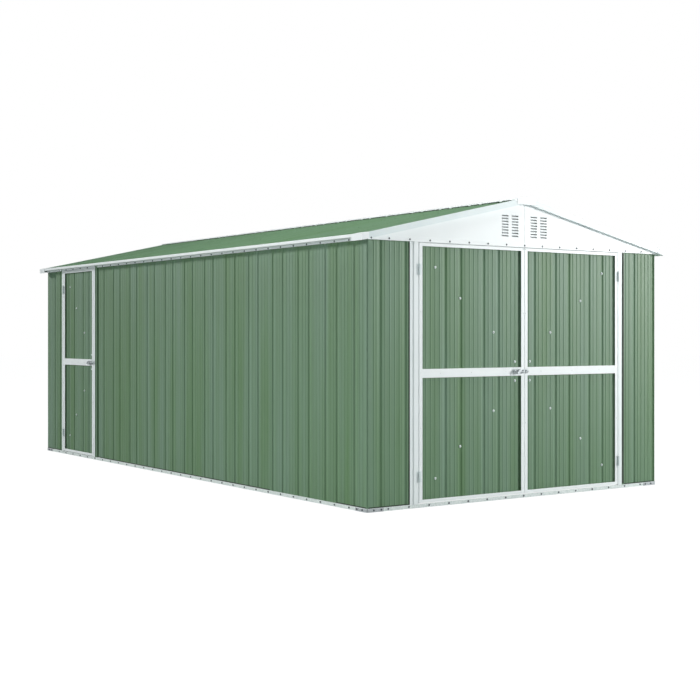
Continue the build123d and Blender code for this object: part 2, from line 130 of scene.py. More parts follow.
frames = {
    "front": make_frame((1, 0, 0), (0, 1, 0), (0, 0, 1), (0, -half_length, 0)),
    "back": make_frame((-1, 0, 0), (0, -1, 0), (0, 0, 1), (0, half_length, 0)),
    "left": make_frame((0, -1, 0), (1, 0, 0), (0, 0, 1), (-half_width, 0, 0)),
    "right": make_frame((0, 1, 0), (-1, 0, 0), (0, 0, 1), (half_width, 0, 0)),
    "roof_left": roof_frame(-1),
    "roof_right": roof_frame(1),
}
groove_starts = {
    "front": -0.034,
    "back": -0.034,
    "left": -0.009 - groove_pair,
    "right": 0.009,
    "roof_left": 0.009,
    "roof_right": -0.009 - groove_pair,
}
print("frames:", sorted(frames))

# %% [markdown]
# ## Camera
# The viewing angle was worked out from straight edges of the photograph: the eye stands a
# little above waist height, off the front left corner. The lens looks level and is shifted
# down a touch, which keeps the walls upright in the picture.

# %% Camera at the photograph's angle
camera_data = bpy.data.cameras.new("view_camera")
camera_data.lens = 65.573
camera_data.sensor_width = 36
camera_data.shift_y = -0.02186
camera_data.clip_end = 200
camera = bpy.data.objects.new("view_camera", camera_data)
camera.location = (-6.789, -10.353, 1.2665)
camera.rotation_euler = (math.radians(90), 0, math.radians(-34.9585))
scene.collection.objects.link(camera)
scene.camera = camera
print("camera", tuple(round(value, 3) for value in camera.location))

# %% [markdown]
# ## Light and floor
# A plain studio. A pale sky lights everything softly. A wide soft box at the front right
# rakes across the front, so that one flank of every groove and rib turns dark and the next
# one light. A low sun from the rear left does the same on the long side, and a weak box near
# its front end lifts that end. One box above the roof and one behind keep the other sides
# readable. Light Path shows plain white to the camera only, so the background is white
# without extra light on the paint.

# %% World
scene.view_settings.view_transform = "Standard"
world = bpy.data.worlds.new("studio")
scene.world = world
world.use_nodes = True
sky_nodes = world.node_tree.nodes
sky_links = world.node_tree.links
sky = sky_nodes["Background"]
sky.inputs["Color"].default_value = (0.93, 0.97, 1.0, 1)
sky.inputs["Strength"].default_value = 0.2
plain_white = sky_nodes.new("ShaderNodeBackground")
plain_white.inputs["Color"].default_value = (1, 1, 1, 1)
plain_white.inputs["Strength"].default_value = 1.0
path = sky_nodes.new("ShaderNodeLightPath")
seen = sky_nodes.new("ShaderNodeMath")
seen.operation = "MAXIMUM"
sky_links.new(path.outputs["Is Camera Ray"], seen.inputs[0])
sky_links.new(path.outputs["Is Transmission Ray"], seen.inputs[1])
sky_mix = sky_nodes.new("ShaderNodeMixShader")
sky_links.new(seen.outputs[0], sky_mix.inputs["Fac"])
sky_links.new(sky.outputs[0], sky_mix.inputs[1])
sky_links.new(plain_white.outputs[0], sky_mix.inputs[2])
sky_links.new(sky_mix.outputs[0], sky_nodes["World Output"].inputs["Surface"])
print("sky strength", sky.inputs["Strength"].default_value)


# %% Lamps: place, target, width and power of each soft box, then the sun
boxes = {
    "key_box": ((13.5, -12.5, 4.2), (0.5, -3.0, 1.2), 5.0, 2130),
    "side_box": ((-8.5, -4.2, 2.6), (-1.5, -2.0, 1.1), 2.5, 90),
    "top_box": ((-1.0, -3.5, 10.0), (-0.8, 0.5, 2.2), 4.0, 560),
    "back_box": ((10.5, 7.5, 3.4), (0.5, 3.0, 1.2), 3.0, 330),
}
for name, (place, target, size, power) in boxes.items():
    data = bpy.data.lights.new(name, "AREA")
    data.shape = "SQUARE"
    data.size = size
    data.energy = power
    box = bpy.data.objects.new(name, data)
    box.location = place
    box.rotation_euler = (Vector(target) - Vector(place)).to_track_quat("-Z", "Y").to_euler()
    scene.collection.objects.link(box)
sun_data = bpy.data.lights.new("low_sun", "SUN")
sun_data.energy = 2.2
sun_data.angle = math.radians(9)
low_sun = bpy.data.objects.new("low_sun", sun_data)
low_sun.rotation_euler = Vector((0.49, -0.80, -0.34)).to_track_quat("-Z", "Y").to_euler()
scene.collection.objects.link(low_sun)

# %% Floor
floor_mesh = bpy.data.meshes.new("floor")
reach = 60
floor_level = -0.0005
corners = [(-reach, -reach), (reach, -reach), (reach, reach), (-reach, reach)]
floor_mesh.from_pydata([(x, y, floor_level) for x, y in corners], [], [(0, 1, 2, 3)])
floor = bpy.data.objects.new("floor", floor_mesh)
scene.collection.objects.link(floor)
floor_material = bpy.data.materials.new("studio_floor")
floor_material.use_nodes = True
floor_nodes = floor_material.node_tree.nodes
floor_links = floor_material.node_tree.links
floor_nodes.remove(floor_nodes["Principled BSDF"])
matt = floor_nodes.new("ShaderNodeBsdfDiffuse")
matt.inputs["Color"].default_value = (0.52, 0.53, 0.53, 1)
glow = floor_nodes.new("ShaderNodeEmission")
glow.inputs["Strength"].default_value = 1.24
floor_path = floor_nodes.new("ShaderNodeLightPath")
floor_share = floor_nodes.new("ShaderNodeMath")
floor_share.operation = "MULTIPLY"
floor_share.inputs[1].default_value = 0.76
floor_mix = floor_nodes.new("ShaderNodeMixShader")
floor_links.new(floor_path.outputs["Is Camera Ray"], floor_share.inputs[0])
floor_links.new(floor_share.outputs[0], floor_mix.inputs["Fac"])
floor_links.new(matt.outputs[0], floor_mix.inputs[1])
floor_links.new(glow.outputs[0], floor_mix.inputs[2])
floor_links.new(floor_mix.outputs[0], floor_nodes["Material Output"].inputs["Surface"])
floor_mesh.materials.append(floor_material)
floor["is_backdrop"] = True
print("floor", 2 * reach, "m square")

# %% [markdown]
# ## Finishes
# Every finish is a Principled shader with a little unevenness. The paint is baked on at the
# mill: satin, almost even, with a fine orange peel that only shows in the highlights, and a
# slow waviness because thin steel never lies quite flat. One helper makes that pattern, and
# each finish sets its own colours, roughness and grain.


# %% Helper for painted and plated steel
def screen_colour(red, green, blue):
    """Colour as seen on a screen, 0 to 255, turned into the linear values a shader takes."""
    values = []
    for value in (red, green, blue):
        share = value / 255
        values.append(share / 12.92 if share <= 0.04045 else ((share + 0.055) / 1.055) ** 2.4)
    return (*values, 1)


def noise(nodes, links, coordinates, scale, detail, stretch=(1, 1, 1)):
    """Noise texture on the shed's own coordinates, stretched along an axis if asked."""
    mapping = nodes.new("ShaderNodeMapping")
    mapping.inputs["Scale"].default_value = stretch
    links.new(coordinates.outputs["Object"], mapping.inputs["Vector"])
    texture = nodes.new("ShaderNodeTexNoise")
    texture.inputs["Scale"].default_value = scale
    texture.inputs["Detail"].default_value = detail
    links.new(mapping.outputs["Vector"], texture.inputs["Vector"])
    return texture


def steel_finish(
    name, light, dark, rough, metallic=0.0, grain=600, peel=0.05, wave=0.0, spangle=0, bands=None,
    gloss=0.5,
):
    """Finish for steel: two close colours, a range of roughness, fine grain and slow waves.

    Bands stretch the colours and waves along an axis. Spangle swaps the soft colours for
    the crystals of a zinc coat. Peel is the strength of the grain, gloss that of the sheen.
    """
    stretch = bands or (1, 1, 0.35)
    material = bpy.data.materials.new(name)
    material.use_nodes = True
    nodes = material.node_tree.nodes
    links = material.node_tree.links
    shader = nodes["Principled BSDF"]
    shader.inputs["Metallic"].default_value = metallic
    shader.inputs["Specular IOR Level"].default_value = gloss
    coordinates = nodes.new("ShaderNodeTexCoord")
    if spangle:
        pattern = nodes.new("ShaderNodeTexVoronoi")
        pattern.inputs["Scale"].default_value = spangle
        links.new(coordinates.outputs["Object"], pattern.inputs["Vector"])
        source = pattern.outputs["Color"]
    else:
        pattern = noise(nodes, links, coordinates, 7.0 if bands else 3.0, 2, stretch)
        source = pattern.outputs["Fac"]
    ramp = nodes.new("ShaderNodeValToRGB")
    ramp.color_ramp.elements[0].position = 0.3
    ramp.color_ramp.elements[0].color = dark
    ramp.color_ramp.elements[1].position = 0.7
    ramp.color_ramp.elements[1].color = light
    links.new(source, ramp.inputs["Fac"])
    links.new(ramp.outputs["Color"], shader.inputs["Base Color"])
    spread = noise(nodes, links, coordinates, 25, 3)
    roughness = nodes.new("ShaderNodeMapRange")
    roughness.inputs["To Min"].default_value = rough[0]
    roughness.inputs["To Max"].default_value = rough[1]
    links.new(spread.outputs["Fac"], roughness.inputs["Value"])
    links.new(roughness.outputs["Result"], shader.inputs["Roughness"])
    fine = noise(nodes, links, coordinates, grain, 2)
    fine_bump = nodes.new("ShaderNodeBump")
    fine_bump.inputs["Strength"].default_value = peel
    fine_bump.inputs["Distance"].default_value = 0.001
    links.new(fine.outputs["Fac"], fine_bump.inputs["Height"])
    if wave:
        slow = noise(nodes, links, coordinates, 4.5, 1, stretch)
        slow_bump = nodes.new("ShaderNodeBump")
        slow_bump.inputs["Strength"].default_value = 1.0
        slow_bump.inputs["Distance"].default_value = wave
        links.new(slow.outputs["Fac"], slow_bump.inputs["Height"])
        links.new(slow_bump.outputs["Normal"], fine_bump.inputs["Normal"])
    links.new(fine_bump.outputs["Normal"], shader.inputs["Normal"])
    return material


print("colour check", [round(value, 3) for value in screen_colour(122, 146, 124)])

# %% The finishes
green_paint = steel_finish(
    "green_paint", screen_colour(112, 143, 119), screen_colour(97, 133, 93), (0.38, 0.48),
    wave=0.006, bands=(1, 1, 0.05), gloss=0.3,
)
roof_paint = steel_finish(
    "roof_paint", screen_colour(108, 143, 112), screen_colour(99, 136, 97), (0.4, 0.5),
    wave=0.005, bands=(0.05, 1, 0.05), gloss=0.3,
)
green_back = steel_finish(
    "green_back", screen_colour(172, 180, 168), screen_colour(160, 169, 158), (0.5, 0.62),
    wave=0.004,
)
white_paint = steel_finish(
    "white_paint", screen_colour(248, 254, 254), screen_colour(243, 250, 250), (0.3, 0.4),
    wave=0.001,
)
trim_paint = steel_finish(
    "trim_paint", screen_colour(230, 241, 241), screen_colour(222, 235, 236), (0.3, 0.42),
    wave=0.001,
)
galvanised = steel_finish(
    "galvanised", screen_colour(206, 210, 211), screen_colour(182, 187, 190), (0.36, 0.5),
    metallic=0.55, grain=350, peel=0.08, spangle=95,
)
pale_zinc = steel_finish(
    "pale_zinc", screen_colour(232, 241, 238), screen_colour(218, 229, 226), (0.36, 0.48),
    metallic=0.05, grain=350, peel=0.08, spangle=95,
)
dull_zinc = steel_finish(
    "dull_zinc", screen_colour(200, 206, 208), screen_colour(174, 181, 184), (0.3, 0.44),
    metallic=0.3, grain=900, peel=0.1, spangle=260,
)
dark_zinc = steel_finish(
    "dark_zinc", screen_colour(98, 104, 110), screen_colour(74, 80, 86), (0.38, 0.5),
    metallic=0.3,
)
# Painted shade: this near-black foam colour also stands in for the shade along the base rails,
# under the ridge cap and beside the front posts.
painted_shade_foam = steel_finish(
    "painted_shade_foam", screen_colour(58, 72, 60), screen_colour(44, 56, 46), (0.75, 0.9),
    grain=1500, peel=0.3,
)
washer_rubber = steel_finish(
    "washer_rubber", screen_colour(62, 64, 65), screen_colour(50, 52, 53), (0.6, 0.75)
)
print("finishes:", [material.name for material in bpy.data.materials])

# %% [markdown]
# The door posts have a raised white face and a flat lip beside it that lies on the sheet.
# On most posts the lip is green like the sheet. One colour ramp with hard steps, read along
# one axis of the shed, paints both parts in one finish.


# %% Two-tone paint for the door posts
def stepped_paint(name, axis, low, high, steps):
    """White finish whose colour changes in hard steps along an axis: (place, colour) pairs."""
    material = steel_finish(name, steps[0][1], steps[0][1], (0.3, 0.4), wave=0.001)
    nodes = material.node_tree.nodes
    links = material.node_tree.links
    coordinates = next(node for node in nodes if node.type == "TEX_COORD")
    split = nodes.new("ShaderNodeSeparateXYZ")
    links.new(coordinates.outputs["Object"], split.inputs[0])
    share = nodes.new("ShaderNodeMapRange")
    share.inputs["From Min"].default_value = low
    share.inputs["From Max"].default_value = high
    links.new(split.outputs[axis], share.inputs["Value"])
    ramp = nodes.new("ShaderNodeValToRGB")
    ramp.color_ramp.interpolation = "CONSTANT"
    for index, (place, colour) in enumerate(steps):
        position = (place - low) / (high - low)
        if index < 2:
            step = ramp.color_ramp.elements[index]
            step.position = position
        else:
            step = ramp.color_ramp.elements.new(position)
        step.color = colour
    links.new(share.outputs["Result"], ramp.inputs["Fac"])
    links.new(ramp.outputs["Color"], nodes["Principled BSDF"].inputs["Base Color"])
    return material


post_white = screen_colour(240, 248, 248)
post_green = screen_colour(105, 138, 107)
post_face = 0.042
step_gap = 0.001
front_post_paint = stepped_paint(
    "front_post_paint", "X", -1.2, 1.2,
    [(-1.2, post_white), (front_opening_half + post_face + step_gap, post_green)],
)
side_post_paint = stepped_paint(
    "side_post_paint", "Y", 1.5, 2.7,
    [
        (1.5, post_green),
        (-side_door_front - post_face - step_gap, post_white),
        (-side_door_rear + post_face + step_gap, post_green),
    ],
)
print("white of the side posts ends at", round(-side_door_rear + post_face, 3))

# %% [markdown]
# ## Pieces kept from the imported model
# The rails, posts, door frames, trims and beams already have the right shape. Pressed steel
# has no razor edges, though, so a Weld modifier joins the facets, a Bevel modifier rounds
# each fold by less than a millimetre, and Weighted Normal keeps the flats flat.

# %% Soft edges and finishes for the kept pieces
kept_finish = {
    "base_rail": pale_zinc,
    "base_corner": dull_zinc,
    "eave_rails": white_paint,
    "barge_boards": trim_paint,
    "top_rail": galvanised,
    "roof_beams": galvanised,
    "braces": galvanised,
    "hinges": trim_paint,
    "front_door_posts": front_post_paint,
    "side_door_posts": side_post_paint,
    "bolt": dull_zinc,
    "keeper": dull_zinc,
}
fold_rounding = 0.0006


def soften(obj, width):
    """Join a kept piece's facets and round its edges."""
    weld = obj.modifiers.new("join_facets", "WELD")
    weld.merge_threshold = 0.00002
    bevel = obj.modifiers.new("fold_edges", "BEVEL")
    bevel.width = width
    bevel.segments = 2
    bevel.limit_method = "ANGLE"
    bevel.angle_limit = math.radians(40)
    normal = obj.modifiers.new("flat_flats", "WEIGHTED_NORMAL")
    normal.keep_sharp = False


for name, obj in sorted(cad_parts.items()):
    finish = next((value for key, value in kept_finish.items() if key in name), white_paint)
    for material_slot in obj.material_slots:
        material_slot.link = "OBJECT"
        material_slot.material = finish
    soften(obj, fold_rounding)
print("kept pieces:", len(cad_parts))

# %% [markdown]
# ## Rolled sheets
# The sheets come from a rolling mill: two deep grooves side by side, then a wide flat pan,
# and so on, with fine ribs that stiffen the pans. Seen in plan it is one long wavy line, so
# the line is drawn first, given the sheet's thickness, and then pulled straight up. Rounded
# folds need a few points each; the straight height needs only its two ends.

# %% The line of a rolled sheet
# Each line lists (distance from its middle, share of its depth).
rib_height = 0.0022
groove_line = [
    (-0.0240, 0.0), (-0.0215, 0.01), (-0.0190, 0.08), (-0.0165, 0.25), (-0.0130, 0.62),
    (-0.0105, 0.83), (-0.0080, 0.95), (-0.0045, 1.0), (0.0045, 1.0), (0.0080, 0.95),
    (0.0105, 0.83), (0.0130, 0.62), (0.0165, 0.25), (0.0190, 0.08), (0.0215, 0.01), (0.0240, 0.0),
]
rib_line = [
    (-0.0095, 0.0), (-0.0070, 0.0), (-0.0056, 0.12), (-0.0030, 0.82), (-0.0014, 1.0),
    (0.0014, 1.0), (0.0030, 0.82), (0.0056, 0.12), (0.0070, 0.0), (0.0095, 0.0),
]
rib_places = (0.053, 0.096, 0.1975, 0.2405, 0.2835, 0.3265)


def sheet_line(low, high, face, start):
    """Points (along, inwards) of a rolled sheet from low to high."""
    marks = []
    first = math.floor((low - start) / period) - 1
    last = math.ceil((high - start) / period) + 1
    depth = groove_depth - rib_height
    for count in range(first, last):
        origin = start + count * period
        marks += [(origin, groove_line, depth), (origin + groove_pair, groove_line, depth)]
        marks += [(origin + place, rib_line, -rib_height) for place in rib_places]
    points = [(low, face)]
    for centre, line, scale in sorted(marks, key=lambda mark: mark[0]):
        half = -line[0][0]
        margin = 0.020 if line is groove_line else half
        if low + margin < centre < high - margin:
            shaped = [(max(low, min(high, centre + x)), face + y * scale) for x, y in line]
            points += [point for point in shaped if low < point[0] < high]
    points.append((high, face))
    return points


print("points in one metre of sheet:", len(sheet_line(0, 1, 0, 0)))


# %% [markdown]
# A thin sheet is a ribbon with two faces. For each point of the line the helper finds the
# direction square to it, steps inwards by the thickness, and then builds outer faces, inner
# faces and the narrow edges. The outer faces get the paint, the inner ones the pale primer.

# %% From a line to a thin folded piece
def thick_ribbon(bm, matrix, line, thickness, low, high, inner=0):
    """Add a ribbon that follows a line (along, inwards) and runs from low to high.

    Its faces take the piece's first finish, apart from the inner ones if inner is not 0.
    """
    outside = [Vector(point) for point in line]
    inside = []
    for index, point in enumerate(outside):
        before = outside[max(index - 1, 0)]
        after = outside[min(index + 1, len(outside) - 1)]
        first = (point - before).normalized() if index else (after - point).normalized()
        second = (after - point).normalized() if index < len(outside) - 1 else first
        middle = (first + second).normalized()
        square = Vector((-middle.y, middle.x))
        stretch = 1 / max(0.5, square.dot(Vector((-first.y, first.x))))
        inside.append(point + square * thickness * stretch)
    rings = []
    for level in (low, high):
        for side in (outside, inside):
            rings.append([bm.verts.new(matrix @ Vector((x, y, level))) for x, y in side])
    outer_low, inner_low, outer_high, inner_high = rings
    for left in range(len(line) - 1):
        right = left + 1
        faces = [
            ((outer_low[left], outer_low[right], outer_high[right], outer_high[left]), 0),
            ((inner_low[right], inner_low[left], inner_high[left], inner_high[right]), inner),
            ((outer_low[right], outer_low[left], inner_low[left], inner_low[right]), 0),
            ((outer_high[left], outer_high[right], inner_high[right], inner_high[left]), 0),
        ]
        for corners_of_face, finish in faces:
            bm.faces.new(corners_of_face).material_index = finish
    ends = (
        (outer_low[0], outer_high[0], inner_high[0], inner_low[0]),
        (outer_low[-1], inner_low[-1], inner_high[-1], outer_high[-1]),
    )
    for corners_of_face in ends:
        bm.faces.new(corners_of_face)


smooth_limit = math.radians(30)


def make_piece(name, bm, body, finishes, replaced=()):
    """Turn a bmesh into a finished piece that rides on a body."""
    mesh = bpy.data.meshes.new(name)
    bmesh.ops.recalc_face_normals(bm, faces=bm.faces)
    for edge in bm.edges:
        edge.smooth = len(edge.link_faces) == 2 and edge.calc_face_angle(0) < smooth_limit
    for face in bm.faces:
        face.smooth = True
    bm.to_mesh(mesh)
    bm.free()
    for finish in finishes:
        mesh.materials.append(finish)
    obj = bpy.data.objects.new(name, mesh)
    scene.collection.objects.link(obj)
    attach(obj, body)
    if replaced:
        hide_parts(*replaced)
    print(name, "faces:", len(mesh.polygons))


def corner_arc(side, sign):
    """Quarter turn at a wall's end, as points (along, inwards) from its face round."""
    radius = corner_radius - sheet_face
    centre = Vector((sign * (side - corner_radius), corner_radius))
    steps = 8
    points = []
    for step in range(steps + 1):
        angle = math.radians(90 * step / steps)
        across = sign * radius * math.sin(angle)
        points.append((centre.x + across, centre.y - radius * math.cos(angle)))
    return points


# %% Wall sheets
def wall_sheet(name, wall, low, high, top, corners_at=()):
    """Make a wall sheet from low to high that turns round the corners at these ends."""
    line = sheet_line(low, high, sheet_face + rib_height, groove_starts[wall])
    line[0] = (low, sheet_face)
    line[-1] = (high, sheet_face)
    if -1 in corners_at:
        line = corner_arc(half_width, -1)[::-1] + line[1:]
    if 1 in corners_at:
        line = line[:-1] + corner_arc(half_width, 1)
    bm = bmesh.new()
    thick_ribbon(bm, frames[wall], line, sheet_steel, steel, top, inner=1)
    make_piece(f"{name}_sheet", bm, "shell", [green_paint, green_back], [name])


front_turn = half_width - corner_radius
side_turn = half_length - corner_radius
jamb = front_opening_half + steel + gap
wall_sheet("front_wall_left", "front", -front_turn, -jamb, wall_top, (-1,))
wall_sheet("front_wall_right", "front", jamb, front_turn, wall_top, (1,))
wall_sheet("back_wall", "back", -front_turn, front_turn, wall_top, (-1, 1))
wall_sheet("right_wall", "right", -side_turn, side_turn, side_sheet_top)
front_jamb = side_door_front + steel + gap
rear_jamb = side_door_rear - steel - gap
wall_sheet("left_wall_front", "left", front_jamb, side_turn, side_sheet_top)
wall_sheet("left_wall_rear", "left", -side_turn, rear_jamb, side_sheet_top)

# %% Roof sheets
eave_inset = 0.009
roof_end = 3.0327
roof_run = (eave_edge - eave_inset - ridge_gap) / math.cos(roof_angle)
for name in ("roof_left", "roof_right"):
    bm = bmesh.new()
    line = sheet_line(-roof_end, roof_end, rib_height, groove_starts[name])
    thick_ribbon(bm, frames[name], line, sheet_steel, 0, roof_run, inner=1)
    make_piece(f"{name}_sheet", bm, "shell", [roof_paint, green_back], [name])

# %% Door sheets
door_runs = {
    "front_left_door": ("front", -1.036, -0.0035, "front_left_leaf"),
    "front_right_door": ("front", 0.0035, 1.036, "front_right_leaf"),
    "side_door": ("left", side_door_rear + 0.007, side_door_front - 0.007, "side_leaf"),
}
panel_inset = 0.0018
panel_face = leaf_sheet_face + rib_height
panel_bottom, panel_top = leaf_bottom + panel_inset, leaf_top - panel_inset
for name, (wall, low, high, body) in door_runs.items():
    line = sheet_line(low + panel_inset, high - panel_inset, panel_face, groove_starts[wall])
    bm = bmesh.new()
    thick_ribbon(bm, frames[wall], line, sheet_steel, panel_bottom, panel_top, inner=1)
    finishes = [green_paint, green_back]
    make_piece(f"{name}_panel", bm, body, finishes, [f"{name}_sheet"])

# %% [markdown]
# ## Screws
# Every rail and trim is held by self-drilling screws with a hexagon head on a washer. One
# small recipe makes a screw out of rings; each body's screws are joined into one mesh, so
# that a door takes its own screws along when it opens.

# %% One screw
# Rings from the rubber washer up to the top of the head: radius, height, sides and finish.
screw_steps = 12
hexagon_flat = 0.866
screw_rings = [
    (0.0066, 0.0000, 12, 1), (0.0066, 0.0008, 12, 1), (0.0070, 0.0008, 12, 0),
    (0.0068, 0.0017, 12, 0), (0.0044, 0.0021, 12, 0), (0.0042, 0.0022, 6, 0),
    (0.0042, 0.0050, 6, 0), (0.0036, 0.0056, 6, 0), (0.0020, 0.0053, 6, 0),
]


def add_screw(bm, matrix, along, inwards, up, size=1.0, turn=0.0, flat=1.0):
    """Add a screw whose head looks outwards; flat squashes its height."""
    rings = []
    for radius, height, sides, finish in screw_rings:
        ring = []
        for step in range(screw_steps):
            angle = 2 * math.pi * step / screw_steps + turn
            reach_out = radius * size
            if sides == 6 and step % 2:
                reach_out *= hexagon_flat
            place = Vector((
                along + reach_out * math.cos(angle),
                inwards - height * size * flat,
                up + reach_out * math.sin(angle),
            ))
            ring.append(bm.verts.new(matrix @ place))
        rings.append((ring, finish))
    for (below, _), (above, finish) in zip(rings, rings[1:]):
        for step in range(screw_steps):
            following = (step + 1) % screw_steps
            face = bm.faces.new((below[step], below[following], above[following], above[step]))
            face.material_index = finish
    bm.faces.new(rings[-1][0]).material_index = 0


# %% Screws of the shell
front_spread = [count * screw_pitch for count in range(-7, 8)]
first_side_screw = 0.2245
side_spread = [half_length - first_side_screw - count * screw_pitch for count in range(30)]
gable_screw_level = wall_top + 0.014
eave_screw_level = wall_top + 0.0085
bracket_face = -0.0018
rail_screws = []
for wall in ("front", "back"):
    rail_screws += [(wall, place, 0.0, rail_screw_level) for place in front_spread]
    strip_face = -gable_face - 0.0012
    rail_screws += [(wall, place, strip_face, gable_screw_level) for place in front_spread]
for wall, sign in (("left", 1), ("right", -1)):
    rail_screws += [(wall, sign * place, 0.0, rail_screw_level) for place in side_spread]
    rail_screws += [(wall, sign * place, 0.0, eave_screw_level) for place in side_spread]
for wall in ("front", "back", "left", "right"):
    half = half_width if wall in ("front", "back") else half_length
    for end in (-1, 1):
        for inset in (0.058, 0.125):
            rail_screws.append((wall, end * (half - inset), bracket_face, rail_screw_level))


def screw_piece(name, body, screws, finishes, size, flat=1.0):
    """Join a list of screws (wall, along, inwards, up) into one piece."""
    bm = bmesh.new()
    for index, (wall, along, inwards, up) in enumerate(screws):
        add_screw(bm, frames[wall], along, inwards, up, size, index * 0.7, flat)
    make_piece(name, bm, body, finishes)


screw_piece("shell_screws", "shell", rail_screws, [dark_zinc, dark_zinc], 1.05)
barge_face = half_length - verge_edge - 0.0002
barge_end = 1.489
barge_screws = [
    (wall, end * barge_end, barge_face, wall_top + 0.010)
    for wall in ("front", "back") for end in (-1, 1)
]
screw_piece("barge_screws", "shell", barge_screws, [dark_zinc, dark_zinc], 1.05, 0.25)

# %% [markdown]
# The roof screws sit in the pans above each purlin and above the eave rail, two in every
# period of the sheet. Their heads are painted like the sheet, so they hardly show.

# %% Screws of the roof
purlin_lines = (0.480, 0.980, 1.475)
last_screw = 2.95
roof_screws = []
for side in ("roof_left", "roof_right"):
    first = groove_starts[side] + groove_pair / 2
    for line_x in purlin_lines:
        down = (line_x - ridge_gap) / math.cos(roof_angle)
        for count in range(-17, 18):
            place = first + count * screw_pitch
            if abs(place) < last_screw:
                roof_screws.append((side, place, rib_height, down))
screw_piece("roof_screws", "shell", roof_screws, [roof_paint, washer_rubber], 0.85)

# %% [markdown]
# Each door sheet is fixed to its two diagonal braces with four pale screws per brace. The
# rails of the frames have flat rivets, and the hinge plates three small screws per leaf.

# %% Screws of the doors
# The upper half of each row is listed as (along, up); the lower half mirrors it.
mirror_level = 0.985
side_mirror_level = 0.988
diagonals = {
    "left": [(-0.088, 1.058), (-0.307, 1.285), (-0.638, 1.540), (-0.876, 1.765)],
    "right": [(0.067, 1.058), (0.288, 1.285), (0.619, 1.539), (0.863, 1.766)],
}
side_diagonal = [(-1.812, 1.061), (-1.997, 1.286), (-2.205, 1.544), (-2.372, 1.770)]
for name, diagonal in diagonals.items():
    screws = []
    for along, up in diagonal:
        screws += [("front", along, panel_face, height) for height in (up, 2 * mirror_level - up)]
    screw_piece(
        f"front_{name}_panel_screws", f"front_{name}_leaf", screws, [pale_zinc, washer_rubber], 1.5
    )
screws = []
for along, up in side_diagonal:
    screws += [("left", along, panel_face, height) for height in (up, 2 * side_mirror_level - up)]
screw_piece("side_panel_screws", "side_leaf", screws, [pale_zinc, washer_rubber], 1.5)

# %% Rivets of the door frames
# Three rivets in the middle rail, and a few up each upright, as (along, up).
front_rivets = {
    "left": [(along, mid_rail) for along in (-0.836, -0.5375, -0.191)],
    "right": [(along, mid_rail) for along in (0.176, 0.514, 0.819)],
}
rivet_size = 0.55
for name, sign in (("left", -1), ("right", 1)):
    places = [*front_rivets[name]]
    places += [(sign * 1.021, height) for height in (0.581, 0.987, 1.434)]
    places += [(sign * 0.013, height) for height in (0.581, 1.434, 1.930)]
    rivets = [("front", along, -post_projection, up) for along, up in places]
    body = f"front_{name}_leaf"
    screw_piece(f"front_{name}_rivets", body, rivets, [pale_zinc, dull_zinc], rivet_size)
places = [(along, mid_rail) for along in (-2.300, -2.140, -1.980)]
places += [(along, height) for along in (-2.504, -1.768) for height in (0.581, 1.434)]
rivets = [("left", along, -post_projection, up) for along, up in places]
screw_piece("side_rivets", "side_leaf", rivets, [pale_zinc, dull_zinc], rivet_size)

# %% Screws of the hinge plates
plate_thickness = 0.0015
plate_face = -post_projection - gap - plate_thickness
hinge_levels = [middle + step for middle in (0.228, 1.745) for step in (-0.028, 0.0, 0.028)]
hinge_plates = {
    "front_left_leaf": [("front", -1.0255)], "front_right_leaf": [("front", 1.0255)],
    "side_leaf": [("left", -2.5085)],
    "shell": [("front", -1.0535), ("front", 1.0535), ("left", -2.5365)],
}
for body, plates in hinge_plates.items():
    screws = [
        (wall, along, plate_face, height) for wall, along in plates for height in hinge_levels
    ]
    screw_piece(f"{body}_hinge_screws", body, screws, [pale_zinc, dull_zinc], 0.42)

# %% [markdown]
# ## Pull rings
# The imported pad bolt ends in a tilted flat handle. The real one is pressed with a raised
# double rim round a finger hole, so two bent wires follow the handle's outline: each is a
# circle of points carried round an oval path, with the last ring joined to the first.

# %% Rings on the handles
def oval_ring(bm, wall, along, inwards, tilt, length, width, radius):
    """A round wire bent into an oval, lying parallel to a wall."""
    around, across_wire = 28, 8
    half_straight = (length - width) / 2
    rings = []
    for step in range(around):
        angle = 2 * math.pi * step / around
        shift = half_straight if math.cos(angle) > 0 else -half_straight
        side = Vector((math.cos(angle), math.sin(angle)))
        ring = []
        for turn in range(across_wire):
            bend = 2 * math.pi * turn / across_wire
            spot = side * (width / 2 - radius + radius * math.cos(bend)) + Vector((shift, 0))
            x = spot.x * math.cos(tilt) - spot.y * math.sin(tilt)
            z = spot.x * math.sin(tilt) + spot.y * math.cos(tilt)
            depth = inwards + radius * math.sin(bend)
            place = Vector((along + x, depth, mid_rail + z))
            ring.append(bm.verts.new(frames[wall] @ place))
        rings.append(ring)
    for step, ring in enumerate(rings):
        following = rings[(step + 1) % around]
        for turn in range(across_wire):
            beside = (turn + 1) % across_wire
            bm.faces.new((ring[turn], ring[beside], following[beside], following[turn]))


tilt = math.radians(40)
handle_face = -0.0298
for body, wall, along in (("front_left_leaf", "front", -0.0977), ("side_leaf", "left", -1.8472)):
    bm = bmesh.new()
    oval_ring(bm, wall, along, handle_face, tilt, 0.056, 0.020, 0.0021)
    oval_ring(bm, wall, along, handle_face, tilt, 0.044, 0.0105, 0.0015)
    make_piece(f"{body}_pull_ring", bm, body, [dull_zinc])

# %% [markdown]
# ## Gables
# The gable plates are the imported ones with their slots. A real louvre is cut and pressed in
# one stroke: the metal bends inwards below the opening and leaves a small brow above it.
# A blade behind each slot and a brow over it give that look, and rain stays out.

# %% Louvre blades and brows
def across_frame(wall):
    """Wall frame turned so that a line (up, inwards) can be pulled along the wall."""
    matrix = frames[wall]
    along, inwards, up = (matrix.col[index].to_3d() for index in range(3))
    return make_frame(up, inwards, -along, matrix.col[3].to_3d())


